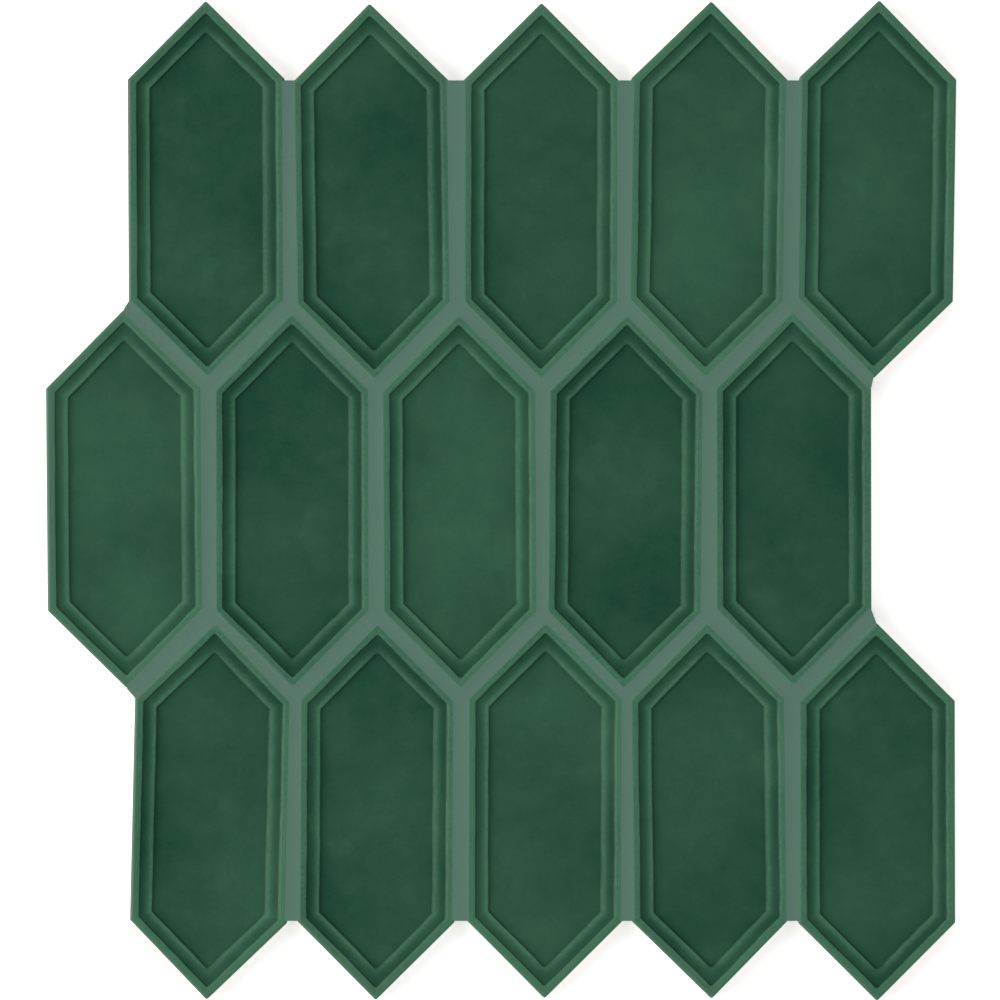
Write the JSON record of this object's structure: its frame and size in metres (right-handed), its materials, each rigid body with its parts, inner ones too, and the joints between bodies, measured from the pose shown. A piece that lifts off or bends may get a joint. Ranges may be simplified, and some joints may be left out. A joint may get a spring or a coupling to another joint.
{
  "type": "picket mosaic tile sheet",
  "caption": "Mesh-backed mosaic sheet of long hexagonal picket tiles with framed, recessed faces in dark green glaze, laid in interlocking rows with filled grey-green joints",
  "frame": {"origin": "centre of the sheet's outline on the plane it lies on, under the backing scrim", "axes": "+Y along the tiles from point to point, +X across the rows, +Z out of the glazed faces"},
  "size_m": [0.2774, 0.305, 0.0087],
  "materials": {
    "glazed_tile": "gloss",
    "grout": "matte",
    "scrim": "matte"
  },
  "bodies": {
    "root": {"picket_tile_r1_c1": "glazed_tile", "picket_tile_r1_c2": "glazed_tile", "picket_tile_r1_c3": "glazed_tile", "picket_tile_r1_c4": "glazed_tile", "picket_tile_r1_c5": "glazed_tile", "picket_tile_r2_c1": "glazed_tile", "picket_tile_r2_c2": "glazed_tile", "picket_tile_r2_c3": "glazed_tile", "picket_tile_r2_c4": "glazed_tile", "picket_tile_r2_c5": "glazed_tile", "picket_tile_r3_c1": "glazed_tile", "picket_tile_r3_c2": "glazed_tile", "picket_tile_r3_c3": "glazed_tile", "picket_tile_r3_c4": "glazed_tile", "picket_tile_r3_c5": "glazed_tile", "joint_grout": "grout", "scrim_lengthwise_threads": "scrim", "scrim_crosswise_threads": "scrim"}
  },
  "joints": []
}
